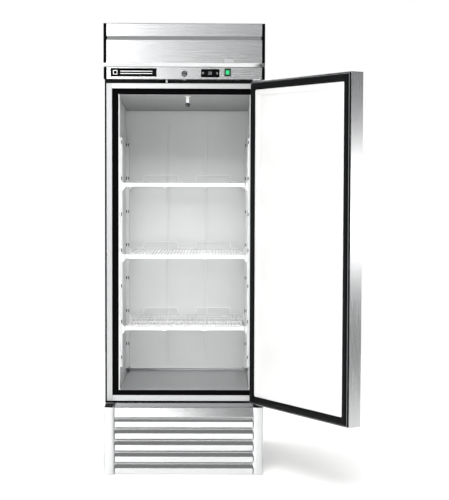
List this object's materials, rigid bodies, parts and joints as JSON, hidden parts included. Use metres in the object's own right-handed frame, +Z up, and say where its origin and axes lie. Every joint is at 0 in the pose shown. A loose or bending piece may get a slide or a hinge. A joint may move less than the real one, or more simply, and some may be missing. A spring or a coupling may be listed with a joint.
{
  "type": "reach-in refrigerator",
  "caption": "Upright commercial reach-in refrigerator with one solid hinged door standing open, wire shelves, a control header and a louvred base.",
  "frame": {"origin": "centre of the base underside", "axes": "+X to the right seen from the front, +Y to the back, +Z up; the door is in front at -Y"},
  "size_m": [1.0461, 1.3308, 1.932],
  "materials": {
    "stainless_brushed": "satin",
    "stainless_header": "satin",
    "stainless_frame": "satin",
    "stainless_floor": "satin",
    "stainless_grille": "satin",
    "galvanised_sheet": "matte",
    "white_aluminium": "satin",
    "white_wire_coating": "gloss",
    "white_plastic": "satin",
    "black_plastic": "satin",
    "black_gasket": "matte",
    "black_painted_steel": "satin",
    "black_badge": "gloss",
    "insulation_foam": "matte",
    "chromed_lock": "polished",
    "zinc_plated": "satin",
    "green_bezel": "satin",
    "green_rocker": "gloss",
    "grey_key": "satin",
    "coil_aluminium": "satin",
    "copper_tube": "satin",
    "lamp_white": "gloss"
  },
  "bodies": {
    "cabinet": {"side_panel_left": "stainless_brushed", "side_panel_right": "stainless_brushed", "back_panel": "galvanised_sheet", "top_panel": "galvanised_sheet", "box_floor_panel": "galvanised_sheet", "cabinet_foam": "insulation_foam", "liner_left": "white_aluminium", "liner_right": "white_aluminium", "liner_back": "white_aluminium", "liner_top": "white_aluminium", "floor_pan": "stainless_floor", "rear_duct_panel": "white_aluminium", "face_frame": "stainless_frame", "thermal_breaker": "black_plastic", "edge_trims": "black_plastic", "header_frame": "black_painted_steel", "header_top_strip": "stainless_header", "header_fascia": "stainless_header", "control_panel": "stainless_header", "header_end_caps": "black_plastic", "badge_plate": "black_badge", "thermostat": "black_plastic", "rocker_bezel": "green_bezel", "lock_housing": "chromed_lock", "door_switch_body": "black_plastic", "pilasters": "white_aluminium", "shelf_clips": "white_wire_coating", "evaporator_cover": "white_aluminium", "evaporator_coil": "coil_aluminium", "evaporator_fan_mount": "zinc_plated", "interior_lamp": "lamp_white", "base_frame": "galvanised_sheet", "corner_posts": "stainless_grille", "front_grille": "stainless_grille", "rear_grille": "galvanised_sheet", "compressor": "black_painted_steel", "condenser_coil": "coil_aluminium", "condenser_fan_mount": "zinc_plated", "drain_pan": "black_plastic", "refrigerant_lines": "copper_tube", "electrical_box": "black_plastic", "hinge_bracket_top": "zinc_plated", "hinge_bracket_bottom": "black_painted_steel"},
    "door": {"hinge_bushes": "white_plastic", "door_skin": "stainless_brushed", "door_liner": "white_plastic", "door_foam": "insulation_foam", "door_gasket": "black_gasket", "handle_cup": "black_plastic"},
    "power_rocker": {"power_rocker": "green_rocker"},
    "button_set": {"button_set": "grey_key"},
    "button_adjust": {"button_adjust": "grey_key"},
    "lock_barrel": {"lock_barrel": "chromed_lock"},
    "lock_bolt": {"lock_bolt": "zinc_plated"},
    "switch_plunger": {"door_switch_plunger": "white_plastic"},
    "shelf_top": {"shelf_top": "white_wire_coating"},
    "shelf_middle": {"shelf_middle": "white_wire_coating"},
    "shelf_bottom": {"shelf_bottom": "white_wire_coating"},
    "evaporator_fan": {"evaporator_fan": "black_plastic"},
    "condenser_fan": {"condenser_fan": "black_plastic"}
  },
  "joints": [
    {"name": "door_hinge", "type": "hinge", "parent": "cabinet", "child": "door", "pos_m": [0.323, -0.364, 0], "axis": [0, 0, 1], "range_deg": [-122.7, 12.3]},
    {"name": "rocker_pivot", "type": "hinge", "parent": "cabinet", "child": "power_rocker", "pos_m": [0.184, -0.376, 1.7265], "axis": [1, 0, 0], "range_deg": [0, 20]},
    {"name": "button_set_press", "type": "slide", "parent": "cabinet", "child": "button_set", "axis": [0, 1, 0], "range_m": [0, 0.001], "stiffness_N_per_m": 600, "springref_m": -0.0004},
    {"name": "button_adjust_press", "type": "slide", "parent": "cabinet", "child": "button_adjust", "axis": [0, 1, 0], "range_m": [0, 0.001], "stiffness_N_per_m": 600, "springref_m": -0.0004},
    {"name": "lock_turn", "type": "hinge", "parent": "cabinet", "child": "lock_barrel", "pos_m": [0, -0.38, 1.72], "axis": [0, 1, 0], "range_deg": [0, 90]},
    {"name": "bolt_slide", "type": "slide", "parent": "cabinet", "child": "lock_bolt", "axis": [0, 0, -1], "range_m": [0, 0.0142]},
    {"name": "switch_press", "type": "slide", "parent": "cabinet", "child": "switch_plunger", "axis": [0, 1, 0], "range_m": [-0.0006, 0.0061]},
    {"name": "shelf_top_lift", "type": "slide", "parent": "cabinet", "child": "shelf_top", "axis": [0, 0, 1], "range_m": [0, 0.06]},
    {"name": "shelf_middle_lift", "type": "slide", "parent": "cabinet", "child": "shelf_middle", "axis": [0, 0, 1], "range_m": [0, 0.06]},
    {"name": "shelf_bottom_lift", "type": "slide", "parent": "cabinet", "child": "shelf_bottom", "axis": [0, 0, 1], "range_m": [0, 0.06]},
    {"name": "evaporator_fan_spin", "type": "hinge", "parent": "cabinet", "child": "evaporator_fan", "pos_m": [0, -0.15, 1.745], "axis": [0, 1, 0], "continuous": true},
    {"name": "condenser_fan_spin", "type": "hinge", "parent": "cabinet", "child": "condenser_fan", "pos_m": [-0.087, -0.204, 0.15], "axis": [0, 1, 0], "continuous": true}
  ],
  "couplings": [
    {"joint": "bolt_slide", "follows": "lock_turn", "m_per_rad": 0.0090031},
    {"joint": "switch_press", "follows": "door_hinge", "m_per_rad": -0.0028017}
  ]
}
